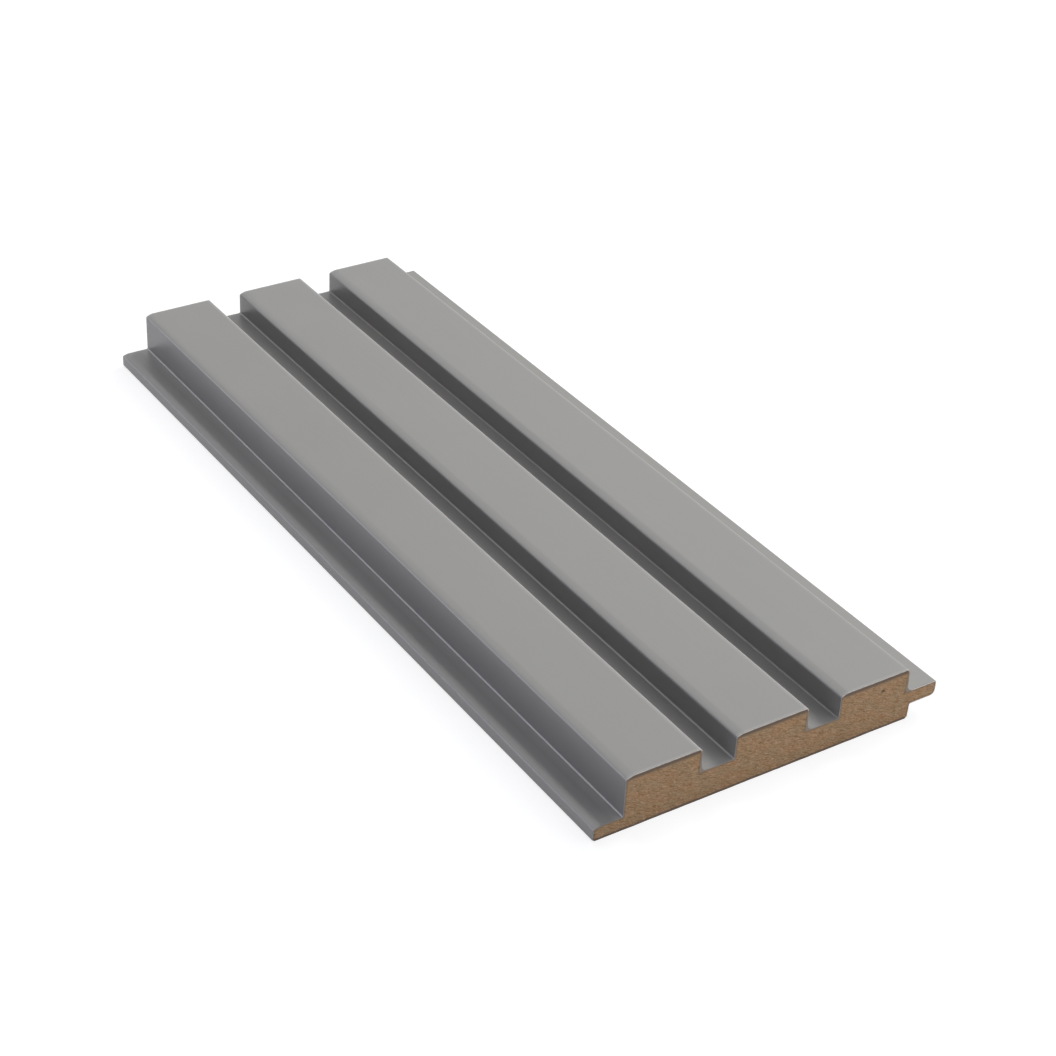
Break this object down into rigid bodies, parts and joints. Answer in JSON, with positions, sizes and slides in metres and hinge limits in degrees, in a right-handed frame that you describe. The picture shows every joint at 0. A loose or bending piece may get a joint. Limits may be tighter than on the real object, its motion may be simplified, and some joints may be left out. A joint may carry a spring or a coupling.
{
  "type": "slatted mdf wall panel",
  "caption": "Short piece of slatted wall panel: film-wrapped MDF with raised slats, a lip on one edge and a tongue on the other that join it to the next panel.",
  "frame": {"origin": "centre of the overall box, on the bare back that goes against the wall", "axes": "+X from the lip edge to the tongue edge, +Y along the slats away from the sawn end in view, +Z out of the wall, up from the back to the slat tops"},
  "size_m": [0.1212, 0.3, 0.0183],
  "materials": {
    "mdf": "sawn fibreboard at the ends, sanded on the back",
    "grey_film": "satin grey decor film"
  },
  "bodies": {
    "root": {"mdf_core": "mdf", "decor_film": "grey_film"}
  },
  "joints": []
}
